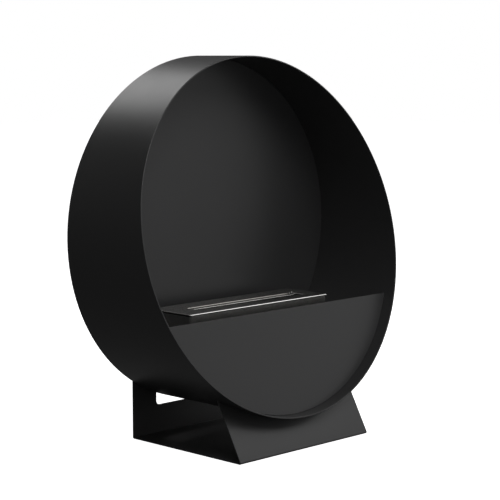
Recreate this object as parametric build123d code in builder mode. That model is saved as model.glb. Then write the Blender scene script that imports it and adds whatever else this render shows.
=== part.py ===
from build123d import *
from math import cos, radians, sin, sqrt, tan
import os

# Round floor-standing bioethanol fireplace. Millimetres, +Z up, the open front faces -Y.
# The origin is the middle of the overall box, on the floor.

# ---- Drum -------------------------------------------------------------------------------
drum_radius = 400.0  # outside
drum_sheet = 3.0
drum_depth = 252.0  # front rim to rear rim, at the height of the centre
rim_lean = 12.7  # degrees that the front rim leans back
rim_round = 0.8  # rounding of the rim's edges
drum_lift = 73.0  # underside of the stand to the lowest point of the drum

# ---- Back and front panels --------------------------------------------------------------
panel_sheet = 2.0
panel_gap = 1.0  # around the edge of each panel
back_recess = 21.5  # rear rim to the front face of the back panel
front_recess = 29.0  # front rim to the front panel, measured level
front_panel_drop = 166.5  # centre of the drum to the front panel's top edge
tab_width = 30.0
tab_leg = 25.0  # leg that lies against the panel
tab_foot = 15.0  # foot that lies along the drum's wall
tab_sheet = 2.0
stud_radius = 2.5
stud_length = 10.0
stud_inset = 15.0  # drum's inner wall to the middle of a stud
back_tab_count = 6
back_tab_start = 30.0  # degrees above level, of the first back tab
front_tab_count = 5
front_tab_spread = 112.0  # degrees between the first and the last front tab

# ---- Stand ------------------------------------------------------------------------------
stand_width = 414.0
stand_sheet = 3.0
stand_bend = 0.5  # inside radius of the folds
stand_slope = 29.0  # degrees that the stand's front leans back
toe_setback = 0.0  # lowest point of the front rim to the stand's front edge
rear_reach = 8.3  # rear rim to the stand's rear panel
rear_panel_height = 198.0
window_width = 272.0
window_bottom = 68.0
window_height = 58.0
window_round = 10.0
pad_radius = 12.0
pad_height = 2.0
pad_inset = 26.0  # edges of the stand to the middle of a pad

# ---- Stand's fixings to the drum --------------------------------------------------------
rear_bolt_count = 4
rear_bolt_pitch = 106.0
rear_bolt_drop = 31.0  # top of the rear panel to the bolts
boss_radius = 9.0
saddle_width = 300.0
saddle_sheet = 3.0
saddle_lip = 26.0  # depth of the lip behind the stand's front
saddle_leg = 46.0  # leg under the drum
saddle_stud_inset = 16.0  # rear edge of the leg to the drum's studs
saddle_stud_count = 4
saddle_stud_spread = 30.0  # degrees between the first and the last stud, about the drum's axis

# ---- Screws, bolts and nuts -------------------------------------------------------------
m6_radius = 3.0
m6_head_radius = 5.4
m6_head_height = 3.3
m6_washer_radius = 6.0
m6_washer_height = 1.6
m6_nut_radius = 5.7  # across the corners
m6_nut_height = 5.0
m5_radius = 2.5
m5_head_radius = 4.6
m5_head_height = 2.7
m5_nut_radius = 4.6
m5_nut_height = 4.0
m4_radius = 2.0
m4_nut_radius = 4.0
m4_nut_height = 3.2
hole_clearance = 0.3  # radius, around every shank
thread_clearance = 0.05  # radius, in every nut and boss
seat_gap = 0.1  # between a flat piece and a curved wall
thread_end = 3.0  # thread that shows past a nut
socket_share = 0.5  # socket's size, against its head
socket_depth_share = 0.6
hex_sides = 6
drill_share = 4.0  # length of the drill for a hole in a curved sheet, against the sheet

# ---- Burner shelf -----------------------------------------------------------------------
shelf_sheet = 2.0
shelf_flange = 20.0
shelf_front_run = 30.0  # burner's front edge to the shelf's front edge
shelf_end_gap = 0.5
cleat_sheet = 2.5
cleat_leg = 38.0  # leg under the shelf
cleat_foot = 34.0  # height of the foot on the drum's wall
cleat_setback = 20.0  # shelf's front and rear edges to the cleat
shelf_screw_inset = 22.0  # end of the shelf to its screws
shelf_screw_setback = 45.0
stop_width = 24.0
stop_height = 12.0
stop_gap = 1.0  # burner box to the shelf's stops

# ---- Burner -----------------------------------------------------------------------------
burner_length = 443.5
burner_depth = 129.5
burner_setback = 51.7  # front rim, at the height of the centre, to the burner's front edge
burner_rise = 5.8  # front panel's top edge to the top of the burner
plate_sheet = 3.0
plate_corner = 3.0
plate_round = 2.0  # rounding of the top edges, outside and around the slot
plate_overhang = 1.5
box_height = 66.0
box_sheet = 1.5
box_flange = 12.0  # at the front and the rear
box_end_flange = 15.0
box_corner = 5.0  # outside radius of the upright corners
box_shoulder = 2.0  # outside radius of the folds at the top
foot_radius = 9.0
foot_height = 3.0
foot_inset = 24.0
foot_gap = 0.3  # feet to shelf
plate_stud_inset = 8.0
plate_stud_setback = 34.0
plate_stud_length = 8.0

# ---- Slot and damper --------------------------------------------------------------------
slot_left_margin = 61.0  # left end of the burner to the slot
slot_right_margin = 42.5
slot_front_margin = 35.2
slot_round = 3.0
damper_sheet = 2.0
damper_round = 0.8
damper_drop = 0.3  # plate's underside to the damper
damper_show = 10.0  # of the damper that shows in the open slot
damper_lap = 2.0  # past the slot's front edge, when closed
damper_rear_lap = 1.0
damper_end_lap = 10.0
damper_rear_gap = 14.7  # open damper to the rear wall of the box
damper_gap = 0.5  # between the damper and its rails
rail_sheet = 1.5
rail_hold = 6.0  # how far a rail reaches under the damper
rail_flange = 14.0
rail_end_gap = 1.5
knob_clearance = 0.9
knob_head_radius = 2.8
knob_head_height = 1.8
knob_round = 0.6
knob_lift = 0.4  # top of the burner to the knob's head
knob_inset = 5.5  # slot's right end to the knob

# ---- Tank, wool and grille --------------------------------------------------------------
tank_end_gap = 12.0  # between the tank and the box, at the ends
tank_side_gap = 5.0
tank_headroom = 10.0  # box's height less the tank's
tank_sheet = 1.2
tank_round = 5.0  # inside corners
wool_gap = 0.6
wool_headroom = 10.0  # tank's height less the wool's
grille_sheet = 1.0
grille_gap = 0.8  # around the grille's edge
grille_lift = 0.3
grille_columns = 32
grille_rows = 8
grille_web = 3.2

# ---- Worked out from the sizes above ----------------------------------------------------
lean_run = tan(radians(rim_lean))
slope_run = tan(radians(stand_slope))
inner_radius = drum_radius - drum_sheet
panel_radius = inner_radius - panel_gap
drum_z = pad_height + drum_lift + drum_radius
bolt_stack = m6_washer_height + m6_head_height
overall_depth = drum_radius * lean_run + drum_depth + rear_reach + stand_sheet + bolt_stack
rim_y = drum_radius * lean_run - overall_depth / 2  # front rim, at the height of the centre
rear_rim_y = rim_y + drum_depth
back_face_y = rear_rim_y - back_recess
back_rear_y = back_face_y + panel_sheet
rear_panel_y = rear_rim_y + rear_reach
stand_rear_y = rear_panel_y + stand_sheet
toe_y = rim_y - drum_radius * lean_run + toe_setback
rear_bolt_z = pad_height + rear_panel_height - rear_bolt_drop
saddle_front_y = toe_y + drum_lift * slope_run + stand_sheet / cos(radians(stand_slope))
saddle_rear_y = saddle_front_y + saddle_leg
saddle_stud_y = saddle_rear_y - saddle_stud_inset
saddle_radius = drum_radius + seat_gap  # inside of the saddle's leg
saddle_under = saddle_radius + saddle_sheet

burner_y = rim_y + burner_setback
burner_mid_y = burner_y + burner_depth / 2
front_top_z = drum_z - front_panel_drop
burner_top_z = front_top_z + burner_rise
plate_z = burner_top_z - plate_sheet
box_z = plate_z - box_height
shelf_z = box_z - foot_height - foot_gap
box_length = burner_length - 2 * plate_overhang
box_depth = burner_depth - 2 * plate_overhang
box_inner_length = box_length - 2 * box_sheet
box_inner_depth = box_depth - 2 * box_sheet

slot_length = burner_length - slot_left_margin - slot_right_margin
slot_x = (slot_left_margin - slot_right_margin) / 2
# the open damper has to fit between the slot and the rear wall of the box
damper_laps = damper_lap + damper_rear_lap - damper_show
damper_margin = damper_laps + damper_rear_gap + box_sheet + plate_overhang
slot_width = (burner_depth - slot_front_margin - damper_margin) / 2
slot_y = burner_y + slot_front_margin
slot_rear_y = slot_y + slot_width
damper_travel = slot_width - damper_show + damper_lap
damper_y = slot_rear_y - damper_show
damper_width = slot_width + damper_lap + damper_rear_lap
damper_top_z = plate_z - damper_drop
damper_z = damper_top_z - damper_sheet
damper_length = slot_length + 2 * damper_end_lap
knob_play = slot_width - damper_travel
knob_stem_radius = knob_play / 2 - knob_clearance
knob_y = slot_rear_y - knob_play / 2
knob_x = slot_x + slot_length / 2 - knob_inset

shelf_y = burner_y - shelf_front_run
shelf_rear_y = back_face_y - shelf_end_gap
shelf_depth = shelf_rear_y - shelf_y
shelf_mid_y = (shelf_y + shelf_rear_y) / 2
shelf_radius = inner_radius - shelf_end_gap
shelf_half = sqrt(shelf_radius**2 - (drum_z - shelf_z) ** 2)

# ---- Planes -----------------------------------------------------------------------------
# Upright planes across the drum's axis look forwards; their origin is on the axis.
along_x = (1, 0, 0)
straight_down = -90.0  # degrees about the drum's axis
full_turn = 360.0
rim_normal = (0, -cos(radians(rim_lean)), sin(radians(rim_lean)))
slope_normal = (0, -cos(radians(stand_slope)), sin(radians(stand_slope)))


def cross_plane(y):
    return Plane(origin=(0, y, drum_z), x_dir=along_x, z_dir=(0, -1, 0))


def level_plane(y, z):
    return Plane(origin=(0, y, z), x_dir=along_x, z_dir=(0, 0, 1))


def rim_plane(setback):
    return Plane(origin=(0, rim_y + setback, drum_z), x_dir=along_x, z_dir=rim_normal)


def wall_plane(angle, radius, y):
    # touches the drum's wall, and its normal points away from the axis
    x = cos(radians(angle))
    z = sin(radians(angle))
    return Plane(origin=(radius * x, y, drum_z + radius * z), x_dir=(0, 1, 0), z_dir=(x, 0, z))


stand_front = Plane(origin=(0, toe_y, pad_height), x_dir=along_x, z_dir=slope_normal)
panel_front = rim_plane(front_recess)
panel_rear = panel_front.offset(-panel_sheet)
far = overall_depth  # long enough to pass through anything


def drum_core(radius, front, rear_y=far):
    # solid round core about the drum's axis, from a front plane back to rear_y
    with BuildPart() as core:
        with BuildSketch(cross_plane(rear_y)):
            Circle(radius)
        extrude(amount=2 * far)
        split(bisect_by=front, keep=Keep.BOTTOM)
    return core.part


def drum_band(radius, thickness, front, rear_y):
    # band about the drum's axis, from a front plane back to rear_y
    with BuildPart() as band:
        with BuildSketch(cross_plane(rear_y)):
            Circle(radius + thickness)
            Circle(radius, mode=Mode.SUBTRACT)
        extrude(amount=2 * far)
        split(bisect_by=front, keep=Keep.BOTTOM)
    return band.part


class Bolt(BasePartObject):
    # button head above the plane, shank below it
    def __init__(self, head_radius, head_height, shank_radius, shank_length, mode=Mode.ADD):
        with BuildPart() as bolt:
            with BuildSketch():
                Circle(head_radius)
            extrude(amount=head_height)
            top = bolt.faces().sort_by(Axis.Z)[-1]
            fillet(top.edges(), radius=head_height * socket_share)
            with BuildSketch(Plane.XY.offset(head_height)):
                RegularPolygon(head_radius * socket_share, hex_sides)
            extrude(amount=-head_height * socket_depth_share, mode=Mode.SUBTRACT)
            with BuildSketch():
                Circle(shank_radius)
            extrude(amount=-shank_length)
        super().__init__(part=bolt.part, mode=mode)


class Nut(BasePartObject):
    # hexagon above the plane
    def __init__(self, corner_radius, height, bore, mode=Mode.ADD):
        with BuildPart() as nut:
            with BuildSketch():
                RegularPolygon(corner_radius, hex_sides)
                Circle(bore, mode=Mode.SUBTRACT)
            extrude(amount=height)
        super().__init__(part=nut.part, mode=mode)


class Ring(BasePartObject):
    # washer, spacer or boss above the plane
    def __init__(self, radius, height, bore, mode=Mode.ADD):
        with BuildPart() as ring:
            with BuildSketch():
                Circle(radius)
                Circle(bore, mode=Mode.SUBTRACT)
            extrude(amount=height)
        super().__init__(part=ring.part, mode=mode)


def spread(count, span):
    # evenly spread angles about straight down
    return [straight_down + span * (i / (count - 1) - 0.5) for i in range(count)]


saddle_angles = spread(saddle_stud_count, saddle_stud_spread)
back_angles = [back_tab_start + full_turn * i / back_tab_count for i in range(back_tab_count)]
front_angles = spread(front_tab_count, front_tab_spread)

# ---- Drum shell -------------------------------------------------------------------------
with BuildPart() as drum_shell:
    with BuildSketch(cross_plane(rear_rim_y)):
        Circle(drum_radius)
        Circle(inner_radius, mode=Mode.SUBTRACT)
    extrude(amount=far)
    split(bisect_by=rim_plane(0), keep=Keep.BOTTOM)
    rims = drum_shell.edges().filter_by(GeomType.LINE, reverse=True)
    fillet(rims, radius=rim_round)

# ---- Back panel and what holds it -------------------------------------------------------
stud_reach = inner_radius - stud_inset

with BuildPart() as back_panel:
    with BuildSketch(cross_plane(back_rear_y)):
        Circle(panel_radius)
    extrude(amount=panel_sheet)

with BuildPart() as back_panel_tabs:
    with BuildSketch(cross_plane(back_rear_y)):
        for angle in back_angles:
            with PolarLocations(inner_radius - tab_leg / 2, 1, angle):
                Rectangle(tab_leg, tab_width)
        Circle(inner_radius - seat_gap, mode=Mode.INTERSECT)
    extrude(amount=-tab_foot)
    with BuildSketch(cross_plane(back_rear_y + tab_sheet)):
        Circle(inner_radius - seat_gap - tab_sheet)
    extrude(amount=-tab_foot, mode=Mode.SUBTRACT)
    with BuildSketch(cross_plane(back_rear_y)):
        for angle in back_angles:
            with PolarLocations(stud_reach, 1, angle):
                Circle(stud_radius + hole_clearance)
    extrude(amount=-tab_sheet, mode=Mode.SUBTRACT)

with BuildPart() as back_panel_studs:
    with BuildSketch(cross_plane(back_rear_y)):
        for angle in back_angles:
            with PolarLocations(stud_reach, 1, angle):
                Circle(stud_radius)
    extrude(amount=-stud_length)

with BuildPart() as back_panel_nuts:
    with BuildSketch(cross_plane(back_rear_y + tab_sheet)):
        for angle in back_angles:
            with PolarLocations(stud_reach, 1, angle):
                RegularPolygon(m5_nut_radius, hex_sides)
                Circle(stud_radius + thread_clearance, mode=Mode.SUBTRACT)
    extrude(amount=-m5_nut_height)

# ---- Front panel and what holds it ------------------------------------------------------
lean_cos = cos(radians(rim_lean))
stud_points = [
    (stud_reach * cos(radians(a)), stud_reach * sin(radians(a)) / lean_cos) for a in front_angles
]
tab_core = drum_core(inner_radius - seat_gap, panel_rear)
tab_space = drum_core(inner_radius - seat_gap - tab_sheet, panel_rear.offset(-tab_sheet))
tab_end = drum_core(drum_radius, panel_rear.offset(-tab_foot))
panel_core = drum_core(panel_radius, panel_front)

with BuildPart() as front_panel:
    with BuildSketch(panel_rear):
        with Locations((0, -front_panel_drop / lean_cos)):
            Rectangle(2 * drum_radius, drum_radius, align=(Align.CENTER, Align.MAX))
    extrude(amount=panel_sheet)
    add(panel_core, mode=Mode.INTERSECT)

with BuildPart() as front_panel_tabs:
    with BuildSketch(cross_plane(far)):
        for angle in front_angles:
            with PolarLocations(inner_radius - tab_leg / 2, 1, angle):
                Rectangle(tab_leg, tab_width)
    extrude(amount=2 * far)
    add(tab_core, mode=Mode.INTERSECT)
    add(tab_space, mode=Mode.SUBTRACT)
    add(tab_end, mode=Mode.SUBTRACT)
    with BuildSketch(panel_rear):
        with Locations(*stud_points):
            Circle(stud_radius + hole_clearance)
    extrude(amount=-stud_length, mode=Mode.SUBTRACT)

with BuildPart() as front_panel_studs:
    with BuildSketch(panel_rear):
        with Locations(*stud_points):
            Circle(stud_radius)
    extrude(amount=-stud_length)

with BuildPart() as front_panel_nuts:
    with BuildSketch(panel_rear.offset(-tab_sheet)):
        with Locations(*stud_points):
            RegularPolygon(m5_nut_radius, hex_sides)
            Circle(stud_radius + thread_clearance, mode=Mode.SUBTRACT)
    extrude(amount=-m5_nut_height)

# ---- Stand ------------------------------------------------------------------------------
stand_top = drum_z  # the leaning front is drawn long, then cut to the drum's curve
drum_seat = drum_core(drum_radius + seat_gap, cross_plane(-far), rear_rim_y)

with BuildPart() as stand:
    with BuildSketch(Plane.YZ):
        with BuildLine():
            fold = stand_bend + stand_sheet
            FilletPolyline(
                (stand_rear_y, pad_height + rear_panel_height),
                (stand_rear_y, pad_height),
                (toe_y, pad_height),
                (toe_y + stand_top * slope_run, pad_height + stand_top),
                radius=fold,
            )
            offset(amount=stand_sheet, side=Side.RIGHT)
        make_face()
    extrude(amount=stand_width / 2, both=True)
    add(drum_seat, mode=Mode.SUBTRACT)
    with BuildSketch(cross_plane(stand_rear_y)):
        with Locations((0, pad_height + window_bottom + window_height / 2 - drum_z)):
            RectangleRounded(window_width, window_height, window_round)
        with Locations((0, rear_bolt_z - drum_z)):
            with GridLocations(rear_bolt_pitch, 0, rear_bolt_count, 1):
                Circle(m6_radius + hole_clearance)
    extrude(amount=stand_sheet, mode=Mode.SUBTRACT)

with BuildPart() as stand_pads:
    pads_x = stand_width - 2 * pad_inset
    pads_y = stand_rear_y - toe_y - 2 * pad_inset
    with BuildSketch(Plane.XY):
        with Locations((0, (stand_rear_y + toe_y) / 2)):
            with GridLocations(pads_x, pads_y, 2, 2):
                Circle(pad_radius)
    extrude(amount=pad_height)

# ---- Saddle: a curved leg under the drum and a lip behind the stand's front -------------
saddle_face = stand_front.offset(-stand_sheet)
leg_band = drum_band(saddle_radius, saddle_sheet, saddle_face, saddle_rear_y)
lip_band = drum_band(saddle_radius, saddle_lip, saddle_face, saddle_rear_y)

with BuildPart() as stand_saddle:
    with BuildSketch(Plane.XY):
        Rectangle(saddle_width, 2 * far)
    extrude(amount=drum_z / 2)
    add(leg_band, mode=Mode.INTERSECT)
    with BuildSketch(saddle_face):
        Rectangle(saddle_width, far)
    lip = extrude(amount=-saddle_sheet, mode=Mode.PRIVATE)
    add(lip & lip_band)
    with Locations(*[wall_plane(a, saddle_radius, saddle_stud_y) for a in saddle_angles]):
        Cylinder(m6_radius + hole_clearance, drill_share * saddle_sheet, mode=Mode.SUBTRACT)

# studs are welded to the outside of the drum, so that its bottom has no holes
washer_seat = saddle_under + seat_gap
nut_seat = washer_seat + m6_washer_height
saddle_stud_length = nut_seat + m6_nut_height + thread_end - saddle_radius

with BuildPart() as saddle_studs:
    with Locations(*[wall_plane(a, saddle_radius, saddle_stud_y) for a in saddle_angles]):
        Cylinder(m6_radius, saddle_stud_length, align=(Align.CENTER, Align.CENTER, Align.MIN))

with BuildPart() as saddle_washers:
    with Locations(*[wall_plane(a, washer_seat, saddle_stud_y) for a in saddle_angles]):
        Ring(m6_washer_radius, m6_washer_height, m6_radius + hole_clearance)

with BuildPart() as saddle_nuts:
    with Locations(*[wall_plane(a, nut_seat, saddle_stud_y) for a in saddle_angles]):
        Nut(m6_nut_radius, m6_nut_height, m6_radius + thread_clearance)

# ---- Bosses and bolts between the back panel and the stand ------------------------------
boss_length = rear_panel_y - back_rear_y


def rear_plane(y):
    # looks backwards from the height of the rear bolts
    return Plane(origin=(0, y, rear_bolt_z), x_dir=along_x, z_dir=(0, 1, 0))


with BuildPart() as rear_bosses:
    with BuildSketch(rear_plane(back_rear_y)):
        with GridLocations(rear_bolt_pitch, 0, rear_bolt_count, 1):
            Circle(boss_radius)
            Circle(m6_radius + thread_clearance, mode=Mode.SUBTRACT)
    extrude(amount=boss_length)

with BuildPart() as rear_washers:
    with BuildSketch(rear_plane(stand_rear_y)):
        with GridLocations(rear_bolt_pitch, 0, rear_bolt_count, 1):
            Circle(m6_washer_radius)
            Circle(m6_radius + hole_clearance, mode=Mode.SUBTRACT)
    extrude(amount=m6_washer_height)

with BuildPart() as rear_bolts:
    with Locations(rear_plane(stand_rear_y + m6_washer_height)):
        with GridLocations(rear_bolt_pitch, 0, rear_bolt_count, 1):
            rear_bolt_length = m6_washer_height + stand_sheet + boss_length - thread_end
            Bolt(m6_head_radius, m6_head_height, m6_radius, rear_bolt_length)

# ---- Burner shelf and its cleats --------------------------------------------------------
shelf_core = drum_core(shelf_radius, cross_plane(-far))
screw_x = shelf_half - shelf_screw_inset
screw_pitch_y = shelf_depth - 2 * shelf_screw_setback
under_z = shelf_z - shelf_sheet

with BuildPart() as burner_shelf:
    with BuildSketch(Plane.YZ):
        with BuildLine():
            FilletPolyline(
                (shelf_y, shelf_z - shelf_flange),
                (shelf_y, shelf_z),
                (shelf_rear_y, shelf_z),
                (shelf_rear_y, shelf_z - shelf_flange),
                radius=2 * shelf_sheet,
            )
            offset(amount=shelf_sheet, side=Side.RIGHT)
        make_face()
    extrude(amount=drum_radius, both=True)
    add(shelf_core, mode=Mode.INTERSECT)
    with BuildSketch(level_plane(burner_mid_y, shelf_z)):
        with GridLocations(box_length + 2 * stop_gap + shelf_sheet, 0, 2, 1):
            Rectangle(shelf_sheet, stop_width)
        with GridLocations(0, box_depth + 2 * stop_gap + shelf_sheet, 1, 2):
            Rectangle(stop_width, shelf_sheet)
    extrude(amount=stop_height)
    with BuildSketch(level_plane(shelf_mid_y, shelf_z)):
        with GridLocations(2 * screw_x, screw_pitch_y, 2, 2):
            Circle(m5_radius + hole_clearance)
    extrude(amount=-shelf_sheet, mode=Mode.SUBTRACT)

with BuildPart() as shelf_cleat_right:
    cleat_radius = inner_radius - seat_gap
    cleat_depth = shelf_depth - 2 * cleat_setback
    with BuildSketch(cross_plane(shelf_rear_y - cleat_setback)):
        with Locations((shelf_half - cleat_leg, under_z - drum_z)):
            Rectangle(2 * cleat_leg, cleat_foot, align=(Align.MIN, Align.MAX))
        Circle(cleat_radius - cleat_sheet, mode=Mode.SUBTRACT)
        with Locations((shelf_half - cleat_leg, under_z - drum_z)):
            Rectangle(2 * cleat_leg, cleat_sheet, align=(Align.MIN, Align.MAX))
        Circle(cleat_radius, mode=Mode.INTERSECT)
    extrude(amount=cleat_depth)
    with BuildSketch(level_plane(shelf_mid_y, under_z)):
        with Locations((screw_x, 0)):
            with GridLocations(0, screw_pitch_y, 1, 2):
                Circle(m5_radius + hole_clearance)
    extrude(amount=-cleat_sheet, mode=Mode.SUBTRACT)

with BuildPart() as shelf_cleat_left:
    add(mirror(shelf_cleat_right.part, about=Plane.YZ))

with BuildPart() as shelf_screws:
    with Locations(level_plane(shelf_mid_y, shelf_z)):
        with GridLocations(2 * screw_x, screw_pitch_y, 2, 2):
            shelf_screw_length = shelf_sheet + cleat_sheet + m5_nut_height + thread_end
            Bolt(m5_head_radius, m5_head_height, m5_radius, shelf_screw_length)

with BuildPart() as shelf_nuts:
    with Locations(-level_plane(shelf_mid_y, under_z - cleat_sheet)):
        with GridLocations(2 * screw_x, screw_pitch_y, 2, 2):
            Nut(m5_nut_radius, m5_nut_height, m5_radius + thread_clearance)

# ---- Burner box, its feet and top plate -------------------------------------------------
plate_stud_x = box_inner_length / 2 - plate_stud_inset
plate_stud_pitch = box_inner_depth - 2 * plate_stud_setback
slot_mid = slot_y + slot_width / 2 - burner_mid_y

with BuildPart() as box_space:
    with BuildSketch(level_plane(burner_mid_y, box_z + box_sheet)):
        RectangleRounded(box_inner_length, box_inner_depth, box_corner - box_sheet)
    extrude(amount=box_height - 2 * box_sheet)
    space_top = box_space.faces().sort_by(Axis.Z)[-1]
    fillet(space_top.edges(), radius=box_shoulder - box_sheet)

with BuildPart() as burner_box:
    with BuildSketch(level_plane(burner_mid_y, box_z)):
        RectangleRounded(box_length, box_depth, box_corner)
    extrude(amount=box_height)
    box_top = burner_box.faces().sort_by(Axis.Z)[-1]
    fillet(box_top.edges(), radius=box_shoulder)
    add(box_space.part, mode=Mode.SUBTRACT)
    with BuildSketch(level_plane(burner_mid_y, plate_z)):
        Rectangle(box_length - 2 * box_end_flange, box_depth - 2 * box_flange)
        with GridLocations(2 * plate_stud_x, plate_stud_pitch, 2, 2):
            Circle(m4_radius + hole_clearance)
    extrude(amount=-box_sheet, mode=Mode.SUBTRACT)

with BuildPart() as burner_feet:
    feet_x = box_length - 2 * foot_inset
    feet_y = box_depth - 2 * foot_inset
    with BuildSketch(level_plane(burner_mid_y, box_z)):
        with GridLocations(feet_x, feet_y, 2, 2):
            Circle(foot_radius)
    extrude(amount=-foot_height)

with BuildPart() as burner_top_plate:
    with BuildSketch(level_plane(burner_mid_y, plate_z)):
        RectangleRounded(burner_length, burner_depth, plate_corner)
        with Locations((slot_x, slot_mid)):
            RectangleRounded(slot_length, slot_width, slot_round, mode=Mode.SUBTRACT)
    extrude(amount=plate_sheet)
    plate_top = burner_top_plate.faces().sort_by(Axis.Z)[-1]
    fillet(plate_top.edges(), radius=plate_round)

with BuildPart() as plate_studs:
    with BuildSketch(level_plane(burner_mid_y, plate_z)):
        with GridLocations(2 * plate_stud_x, plate_stud_pitch, 2, 2):
            Circle(m4_radius)
    extrude(amount=-plate_stud_length)

with BuildPart() as plate_nuts:
    with BuildSketch(level_plane(burner_mid_y, plate_z - box_sheet)):
        with GridLocations(2 * plate_stud_x, plate_stud_pitch, 2, 2):
            RegularPolygon(m4_nut_radius, hex_sides)
            Circle(m4_radius + thread_clearance, mode=Mode.SUBTRACT)
    extrude(amount=-m4_nut_height)

# ---- Damper, its rails and its knob -----------------------------------------------------
rail_x = damper_length / 2 + damper_gap
rail_top_z = damper_z - damper_gap
rail_z = rail_top_z - rail_sheet
rail_depth = box_depth - 2 * box_flange - 2 * rail_end_gap
knob_tail_radius = knob_stem_radius / 2

with BuildPart() as damper_rail_right:
    with BuildSketch(cross_plane(burner_mid_y)):
        with Locations((slot_x + rail_x, plate_z - drum_z)):
            Rectangle(rail_flange, rail_sheet, align=(Align.MIN, Align.MAX))
            Rectangle(rail_sheet, plate_z - rail_z, align=(Align.MIN, Align.MAX))
        with Locations((slot_x + rail_x + rail_sheet, rail_z - drum_z)):
            Rectangle(rail_hold + damper_gap + rail_sheet, rail_sheet, align=(Align.MAX, Align.MIN))
    extrude(amount=rail_depth / 2, both=True)

with BuildPart() as damper_rail_left:
    add(mirror(damper_rail_right.part, about=Plane.YZ.offset(slot_x)))

with BuildPart() as damper_plate:
    with BuildSketch(level_plane(damper_y, damper_z)):
        with Locations((slot_x, 0)):
            Rectangle(damper_length, damper_width, align=(Align.CENTER, Align.MIN))
    extrude(amount=damper_sheet)
    damper_top = damper_plate.faces().sort_by(Axis.Z)[-1]
    fillet(damper_top.edges(), radius=damper_round)
    with BuildSketch(level_plane(knob_y, damper_z)):
        with Locations((knob_x, 0)):
            Circle(knob_tail_radius + thread_clearance)
    extrude(amount=damper_sheet, mode=Mode.SUBTRACT)

with BuildPart() as damper_knob:
    knob_head_z = burner_top_z + knob_lift
    with BuildSketch(level_plane(knob_y, damper_z)):
        with Locations((knob_x, 0)):
            Circle(knob_tail_radius)
    extrude(amount=damper_sheet)
    with BuildSketch(level_plane(knob_y, damper_top_z)):
        with Locations((knob_x, 0)):
            Circle(knob_stem_radius)
    extrude(amount=knob_head_z - damper_top_z)
    with BuildSketch(level_plane(knob_y, knob_head_z)):
        with Locations((knob_x, 0)):
            Circle(knob_head_radius)
    extrude(amount=knob_head_height)
    knob_top = damper_knob.faces().sort_by(Axis.Z)[-1]
    fillet(knob_top.edges(), radius=knob_round)

# ---- Fuel tank, wool and grille ---------------------------------------------------------
tank_z = box_z + box_sheet
tank_height = box_height - tank_headroom
tank_length = box_inner_length - 2 * tank_end_gap
tank_depth = box_inner_depth - 2 * tank_side_gap
tank_inner_length = tank_length - 2 * tank_sheet
tank_inner_depth = tank_depth - 2 * tank_sheet
wool_z = tank_z + tank_sheet
wool_height = tank_height - wool_headroom
grille_z = wool_z + wool_height + grille_lift
grille_length = tank_inner_length - 2 * grille_gap
grille_depth = tank_inner_depth - 2 * grille_gap
column_pitch = (grille_length - grille_web) / grille_columns
row_pitch = (grille_depth - grille_web) / grille_rows

with BuildPart() as fuel_tank:
    with BuildSketch(level_plane(burner_mid_y, tank_z)):
        RectangleRounded(tank_length, tank_depth, tank_round + tank_sheet)
    extrude(amount=tank_height)
    with BuildSketch(level_plane(burner_mid_y, tank_z + tank_sheet)):
        RectangleRounded(tank_inner_length, tank_inner_depth, tank_round)
    extrude(amount=tank_height, mode=Mode.SUBTRACT)

with BuildPart() as fuel_wool:
    wool_length = tank_inner_length - 2 * wool_gap
    wool_depth = tank_inner_depth - 2 * wool_gap
    with BuildSketch(level_plane(burner_mid_y, wool_z)):
        RectangleRounded(wool_length, wool_depth, tank_round)
    extrude(amount=wool_height)

with BuildPart() as wool_grille:
    with BuildSketch(level_plane(burner_mid_y, grille_z)):
        RectangleRounded(grille_length, grille_depth, tank_round)
        with GridLocations(column_pitch, row_pitch, grille_columns, grille_rows):
            Rectangle(column_pitch - grille_web, row_pitch - grille_web, mode=Mode.SUBTRACT)
    extrude(amount=grille_sheet)

# ---- Names and files --------------------------------------------------------------------
pieces = {
    "drum_shell": drum_shell,
    "back_panel": back_panel,
    "back_panel_tabs": back_panel_tabs,
    "back_panel_studs": back_panel_studs,
    "back_panel_nuts": back_panel_nuts,
    "front_panel": front_panel,
    "front_panel_tabs": front_panel_tabs,
    "front_panel_studs": front_panel_studs,
    "front_panel_nuts": front_panel_nuts,
    "stand": stand,
    "stand_pads": stand_pads,
    "stand_saddle": stand_saddle,
    "saddle_studs": saddle_studs,
    "saddle_washers": saddle_washers,
    "saddle_nuts": saddle_nuts,
    "rear_bosses": rear_bosses,
    "rear_washers": rear_washers,
    "rear_bolts": rear_bolts,
    "burner_shelf": burner_shelf,
    "shelf_cleat_left": shelf_cleat_left,
    "shelf_cleat_right": shelf_cleat_right,
    "shelf_screws": shelf_screws,
    "shelf_nuts": shelf_nuts,
    "burner_box": burner_box,
    "burner_feet": burner_feet,
    "burner_top_plate": burner_top_plate,
    "plate_studs": plate_studs,
    "plate_nuts": plate_nuts,
    "damper_rail_left": damper_rail_left,
    "damper_rail_right": damper_rail_right,
    "damper_plate": damper_plate,
    "damper_knob": damper_knob,
    "fuel_tank": fuel_tank,
    "fuel_wool": fuel_wool,
    "wool_grille": wool_grille,
}

os.makedirs("parts", exist_ok=True)
for name, piece in pieces.items():
    piece.part.label = name
    export_step(piece.part, f"parts/{name}.step")
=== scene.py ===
import bpy
import bmesh
import math
from mathutils import Matrix, Vector, noise


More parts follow.
